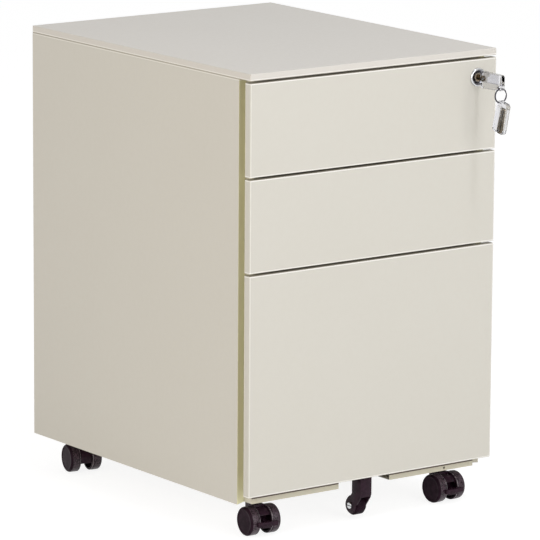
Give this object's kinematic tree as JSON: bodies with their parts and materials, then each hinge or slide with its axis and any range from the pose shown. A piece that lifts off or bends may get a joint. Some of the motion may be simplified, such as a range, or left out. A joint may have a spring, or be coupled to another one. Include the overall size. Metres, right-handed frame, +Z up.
{
  "type": "office drawer cabinet",
  "caption": "Mobile steel office cabinet with two shallow drawers over a deep file drawer, side finger grooves, a locking bar with folding keys, twin-wheel casters and a fifth wheel.",
  "frame": {"origin": "on the floor under the middle of the box that holds the whole object, hanging keys included", "axes": "+X to the right seen from the front, the drawer fronts face -Y, +Z up"},
  "size_m": [0.39, 0.5584, 0.602],
  "materials": {
    "light_paint": "fine-textured warm grey-white powder coat",
    "box_paint": "satin powder coat",
    "zinc_steel": "zinc plated",
    "ball_steel": "polished balls in a pressed cage",
    "lock_chrome": "bright nickel and chrome plate",
    "lock_plug_metal": "satin plated zinc casting",
    "key_brass": "plated brass, slightly worn",
    "clear_key_plastic": "clear moulded plastic",
    "black_nylon": "moulded black nylon, satin",
    "wheel_nylon": "moulded black nylon, satin",
    "rail_plastic": "extruded dark plastic"
  },
  "bodies": {
    "carcass": {"side_panel_left": "light_paint", "side_panel_right": "light_paint", "top_panel": "light_paint", "back_panel": "light_paint", "base_pan": "light_paint", "front_cross_rail": "light_paint", "rear_posts": "box_paint", "slide_outers": "zinc_steel", "lock_bar_pins": "zinc_steel", "caster_stems": "zinc_steel"},
    "top_drawer": {"top_drawer_front": "light_paint", "top_drawer_liner": "box_paint", "top_drawer_box": "box_paint", "top_slide_inner": "zinc_steel", "lock_barrel": "lock_chrome", "lock_nut": "zinc_steel"},
    "top_slide": {"top_slide_middle": "zinc_steel", "top_ball_cages": "ball_steel"},
    "middle_drawer": {"middle_drawer_front": "light_paint", "middle_drawer_liner": "box_paint", "middle_drawer_box": "box_paint", "middle_slide_inner": "zinc_steel"},
    "middle_slide": {"middle_slide_middle": "zinc_steel", "middle_ball_cages": "ball_steel"},
    "bottom_drawer": {"bottom_drawer_front": "light_paint", "bottom_drawer_liner": "box_paint", "bottom_drawer_box": "box_paint", "bottom_slide_inner": "zinc_steel", "hanging_file_rails": "rail_plastic", "fifth_wheel_bracket": "black_nylon", "fifth_wheel_bolt": "lock_chrome"},
    "bottom_slide": {"bottom_slide_middle": "zinc_steel", "bottom_ball_cages": "ball_steel"},
    "lock_core": {"lock_plug": "lock_plug_metal", "lock_cam": "zinc_steel"},
    "lock_bar": {"lock_bar": "zinc_steel"},
    "key_blade": {"key_blade": "key_brass"},
    "key_head": {"key_head": "clear_key_plastic"},
    "key_ring": {"key_ring": "lock_chrome"},
    "spare_key_head": {"spare_key_head": "clear_key_plastic"},
    "spare_key_blade": {"spare_key_blade": "key_brass"},
    "caster_front_left": {"caster_housing_front_left": "black_nylon", "caster_axle_front_left": "zinc_steel"},
    "caster_wheel_left_front_left": {"caster_wheel_left_front_left": "wheel_nylon"},
    "caster_wheel_right_front_left": {"caster_wheel_right_front_left": "wheel_nylon"},
    "brake_lever_front_left": {"brake_lever_front_left": "black_nylon"},
    "caster_front_right": {"caster_housing_front_right": "black_nylon", "caster_axle_front_right": "zinc_steel"},
    "caster_wheel_left_front_right": {"caster_wheel_left_front_right": "wheel_nylon"},
    "caster_wheel_right_front_right": {"caster_wheel_right_front_right": "wheel_nylon"},
    "brake_lever_front_right": {"brake_lever_front_right": "black_nylon"},
    "caster_rear_left": {"caster_housing_rear_left": "black_nylon", "caster_axle_rear_left": "zinc_steel"},
    "caster_wheel_left_rear_left": {"caster_wheel_left_rear_left": "wheel_nylon"},
    "caster_wheel_right_rear_left": {"caster_wheel_right_rear_left": "wheel_nylon"},
    "caster_rear_right": {"caster_housing_rear_right": "black_nylon", "caster_axle_rear_right": "zinc_steel"},
    "caster_wheel_left_rear_right": {"caster_wheel_left_rear_right": "wheel_nylon"},
    "caster_wheel_right_rear_right": {"caster_wheel_right_rear_right": "wheel_nylon"},
    "fifth_wheel": {"fifth_wheel": "wheel_nylon"}
  },
  "joints": [
    {"name": "top_drawer_slide", "type": "slide", "parent": "carcass", "child": "top_drawer", "axis": [0, -1, 0], "range_m": [0, 0.4]},
    {"name": "top_middle_slide", "type": "slide", "parent": "carcass", "child": "top_slide", "axis": [0, -1, 0], "range_m": [0, 0.2]},
    {"name": "middle_drawer_slide", "type": "slide", "parent": "carcass", "child": "middle_drawer", "axis": [0, -1, 0], "range_m": [0, 0.4]},
    {"name": "middle_middle_slide", "type": "slide", "parent": "carcass", "child": "middle_slide", "axis": [0, -1, 0], "range_m": [0, 0.2]},
    {"name": "bottom_drawer_slide", "type": "slide", "parent": "carcass", "child": "bottom_drawer", "axis": [0, -1, 0], "range_m": [0, 0.4]},
    {"name": "bottom_middle_slide", "type": "slide", "parent": "carcass", "child": "bottom_slide", "axis": [0, -1, 0], "range_m": [0, 0.2]},
    {"name": "lock_turn", "type": "hinge", "parent": "top_drawer", "child": "lock_core", "pos_m": [0.164, -0.21478, 0.5667], "axis": [0, 1, 0], "range_deg": [0, 90]},
    {"name": "lock_bar_drop", "type": "slide", "parent": "carcass", "child": "lock_bar", "axis": [0, 0, -1], "range_m": [0, 0.01273]},
    {"name": "key_pull", "type": "slide", "parent": "lock_core", "child": "key_blade", "axis": [0, -1, 0], "range_m": [0, 0.02]},
    {"name": "key_fold", "type": "hinge", "parent": "key_blade", "child": "key_head", "pos_m": [0.164, -0.22878, 0.5667], "axis": [1, 0, 0], "range_deg": [-90, 0]},
    {"name": "ring_swing", "type": "hinge", "parent": "key_head", "child": "key_ring", "pos_m": [0.164, -0.26278, 0.558], "axis": [1, 0, 0], "range_deg": [-35, 15]},
    {"name": "spare_key_swing", "type": "hinge", "parent": "key_ring", "child": "spare_key_head", "pos_m": [0.164, -0.26278, 0.5398], "axis": [1, 0, 0], "range_deg": [-40, 20]},
    {"name": "spare_key_fold", "type": "hinge", "parent": "spare_key_head", "child": "spare_key_blade", "pos_m": [0.164, -0.26222, 0.5041], "axis": [1, 0, 0], "range_deg": [0, 170]},
    {"name": "caster_swivel_front_left", "type": "hinge", "parent": "carcass", "child": "caster_front_left", "pos_m": [-0.149, -0.16198, 0.042], "axis": [0, 0, 1], "continuous": true},
    {"name": "wheel_spin_left_front_left", "type": "hinge", "parent": "caster_front_left", "child": "caster_wheel_left_front_left", "pos_m": [-0.14967, -0.17476, 0.0189], "axis": [0.9986, -0.0523, 0], "continuous": true},
    {"name": "wheel_spin_right_front_left", "type": "hinge", "parent": "caster_front_left", "child": "caster_wheel_right_front_left", "pos_m": [-0.14967, -0.17476, 0.0189], "axis": [0.9986, -0.0523, 0], "continuous": true},
    {"name": "brake_press_front_left", "type": "hinge", "parent": "caster_front_left", "child": "brake_lever_front_left", "pos_m": [-0.14967, -0.17476, 0.0189], "axis": [0.9986, -0.0523, 0], "range_deg": [0, 12]},
    {"name": "caster_swivel_front_right", "type": "hinge", "parent": "carcass", "child": "caster_front_right", "pos_m": [0.149, -0.16198, 0.042], "axis": [0, 0, 1], "continuous": true},
    {"name": "wheel_spin_left_front_right", "type": "hinge", "parent": "caster_front_right", "child": "caster_wheel_left_front_right", "pos_m": [0.14967, -0.17476, 0.0189], "axis": [0.9986, 0.0523, 0], "continuous": true},
    {"name": "wheel_spin_right_front_right", "type": "hinge", "parent": "caster_front_right", "child": "caster_wheel_right_front_right", "pos_m": [0.14967, -0.17476, 0.0189], "axis": [0.9986, 0.0523, 0], "continuous": true},
    {"name": "brake_press_front_right", "type": "hinge", "parent": "caster_front_right", "child": "brake_lever_front_right", "pos_m": [0.14967, -0.17476, 0.0189], "axis": [0.9986, 0.0523, 0], "range_deg": [0, 12]},
    {"name": "caster_swivel_rear_left", "type": "hinge", "parent": "carcass", "child": "caster_rear_left", "pos_m": [-0.149, 0.24222, 0.042], "axis": [0, 0, 1], "continuous": true},
    {"name": "wheel_spin_left_rear_left", "type": "hinge", "parent": "caster_rear_left", "child": "caster_wheel_left_rear_left", "pos_m": [-0.15122, 0.22961, 0.0189], "axis": [0.9848, -0.1736, 0], "continuous": true},
    {"name": "wheel_spin_right_rear_left", "type": "hinge", "parent": "caster_rear_left", "child": "caster_wheel_right_rear_left", "pos_m": [-0.15122, 0.22961, 0.0189], "axis": [0.9848, -0.1736, 0], "continuous": true},
    {"name": "caster_swivel_rear_right", "type": "hinge", "parent": "carcass", "child": "caster_rear_right", "pos_m": [0.149, 0.24222, 0.042], "axis": [0, 0, 1], "continuous": true},
    {"name": "wheel_spin_left_rear_right", "type": "hinge", "parent": "caster_rear_right", "child": "caster_wheel_left_rear_right", "pos_m": [0.15379, 0.23035, 0.0189], "axis": [0.9272, 0.3746, 0], "continuous": true},
    {"name": "wheel_spin_right_rear_right", "type": "hinge", "parent": "caster_rear_right", "child": "caster_wheel_right_rear_right", "pos_m": [0.15379, 0.23035, 0.0189], "axis": [0.9272, 0.3746, 0], "continuous": true},
    {"name": "fifth_wheel_spin", "type": "hinge", "parent": "bottom_drawer", "child": "fifth_wheel", "pos_m": [0, -0.18178, 0.018], "axis": [1, 0, 0], "continuous": true}
  ],
  "couplings": [
    {"joint": "top_middle_slide", "follows": "top_drawer_slide", "ratio": 0.5},
    {"joint": "middle_middle_slide", "follows": "middle_drawer_slide", "ratio": 0.5},
    {"joint": "bottom_middle_slide", "follows": "bottom_drawer_slide", "ratio": 0.5},
    {"joint": "lock_turn", "follows": "lock_bar_drop", "rad_per_m": 123.41}
  ]
}
